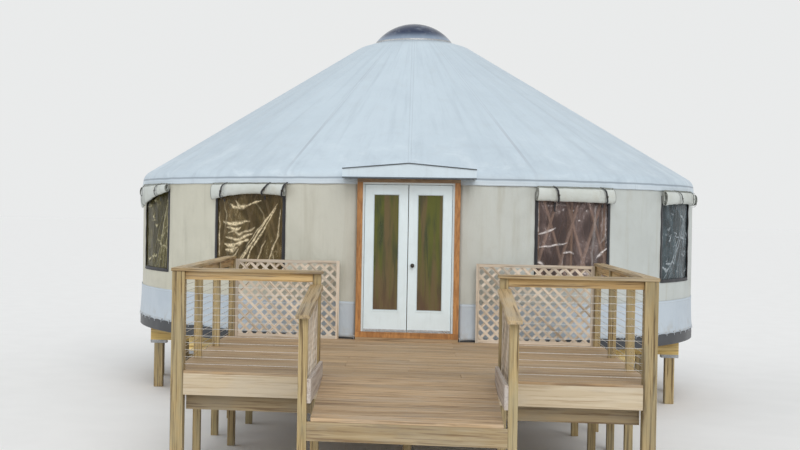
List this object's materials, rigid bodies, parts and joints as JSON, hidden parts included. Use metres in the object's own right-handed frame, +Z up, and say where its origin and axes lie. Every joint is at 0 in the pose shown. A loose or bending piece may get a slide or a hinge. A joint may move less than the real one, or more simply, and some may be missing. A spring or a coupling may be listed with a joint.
{
  "type": "yurt on a raised platform with a railed deck and ramp",
  "caption": "Round fabric yurt with a conical roof, skylight dome, roll-up window flaps and glazed double doors, on a raised timber platform with a railed deck and ramp",
  "frame": {"origin": "on the yurt's axis at ground level, in the middle of the foot of the centre pier", "axes": "+Z up, -Y the way the doors and the ramp face, +X to the right of someone who looks at the doors"},
  "size_m": [9.3742, 15.0245, 6.1537],
  "materials": {
    "floor_board": "sealed boards",
    "rim_paint": "dark painted band",
    "framing_timber": "planed softwood",
    "post_timber": "pressure treated pine",
    "rail_timber": "pressure treated pine, weathered",
    "screen_timber": "grey weathered pine",
    "deck_timber": "weathered boards",
    "ramp_timber": "reddish weathered boards",
    "lattice_timber": "planed slats",
    "cedar": "oiled cedar",
    "wall_fabric": "coated cover fabric, matt",
    "band_fabric": "coated cover fabric, matt",
    "roof_fabric": "coated roof fabric, satin",
    "black_binding": "woven webbing",
    "window_vinyl": "clear flexible vinyl",
    "dome_acrylic": "tinted acrylic",
    "door_glass": "clear glazing",
    "white_paint": "white enamel",
    "curb_metal": "mill finish",
    "hinge_metal": "dark bronze finish",
    "saddle_metal": "galvanised",
    "wire_metal": "stainless wire"
  },
  "bodies": {
    "root": {"platform_floor": "floor_board", "platform_rim": "rim_paint", "platform_joists": "framing_timber", "platform_girders": "framing_timber", "platform_saddles": "saddle_metal", "platform_piers": "post_timber", "wall_cover_piers": "wall_fabric", "wall_cover_at_windows": "wall_fabric", "wall_lower_band": "band_fabric", "lattice_wall_left": "lattice_timber", "lattice_wall_right": "lattice_timber", "wall_studs": "framing_timber", "rafters": "framing_timber", "centre_ring": "framing_timber", "dome_curb": "curb_metal", "skylight_dome": "dome_acrylic", "roof_cover": "roof_fabric", "window_panes": "window_vinyl", "window_borders": "black_binding", "window_flap_rolls": "wall_fabric", "window_straps": "black_binding", "door_frame": "cedar", "door_jamb": "white_paint", "door_awning": "white_paint", "deck_boards": "deck_timber", "deck_fascia": "rail_timber", "deck_joists": "framing_timber", "deck_beams": "framing_timber", "deck_posts": "post_timber", "cap_rails": "rail_timber", "sub_rails": "rail_timber", "rail_wires_left": "wire_metal", "rail_wires_right": "wire_metal", "lattice_screen_left": "screen_timber", "lattice_screen_right": "screen_timber", "ramp_deck": "ramp_timber", "ramp_stringers": "framing_timber", "ramp_side_boards": "screen_timber"},
    "left_door": {"door_leaf_left": "white_paint", "door_glass_left": "door_glass", "door_hinges_left": "hinge_metal"},
    "right_door": {"door_leaf_right": "white_paint", "door_glass_right": "door_glass", "door_hinges_right": "hinge_metal", "door_knob": "hinge_metal"}
  },
  "joints": [
    {"name": "left_door_hinge", "type": "hinge", "parent": "root", "child": "left_door", "pos_m": [-0.5937, -4.5677, 1.2], "axis": [0, 0, 1], "range_deg": [0, 95]},
    {"name": "right_door_hinge", "type": "hinge", "parent": "root", "child": "right_door", "pos_m": [0.5937, -4.5677, 1.2], "axis": [0, 0, -1], "range_deg": [0, 95]}
  ]
}
